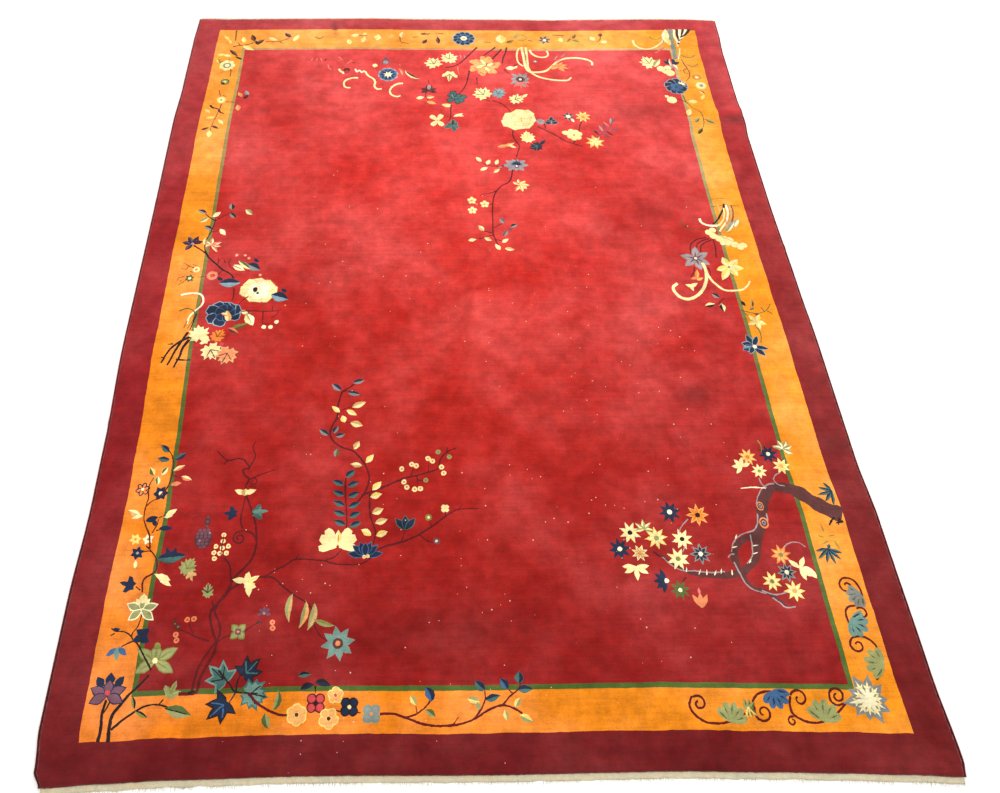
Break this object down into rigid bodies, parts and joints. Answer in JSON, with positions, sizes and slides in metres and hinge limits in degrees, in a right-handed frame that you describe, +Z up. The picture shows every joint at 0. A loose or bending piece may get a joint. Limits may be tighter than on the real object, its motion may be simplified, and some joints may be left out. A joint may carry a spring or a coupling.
{
  "type": "chinese art deco pile rug",
  "caption": "Room-size hand-knotted wool pile rug with an orange band, flower sprays, flat-woven ends and overcast sides, lying flat on the floor.",
  "frame": {"origin": "middle of the underside's bounding box, on the floor", "axes": "+X across the rug, +Y along it towards the end with the hanging spray, +Z up out of the pile"},
  "size_m": [2.7892, 3.6406, 0.013],
  "materials": {
    "wool_pile": "silky clipped wool pile",
    "cotton_band": "flat plain-woven undyed cotton",
    "selvedge_wool": "wool yarn wrapped round the edge warps"
  },
  "bodies": {
    "root": {"pile_carpet": "wool_pile", "end_band_near": "cotton_band", "end_band_far": "cotton_band", "selvedge_left": "selvedge_wool", "selvedge_right": "selvedge_wool"}
  },
  "joints": []
}
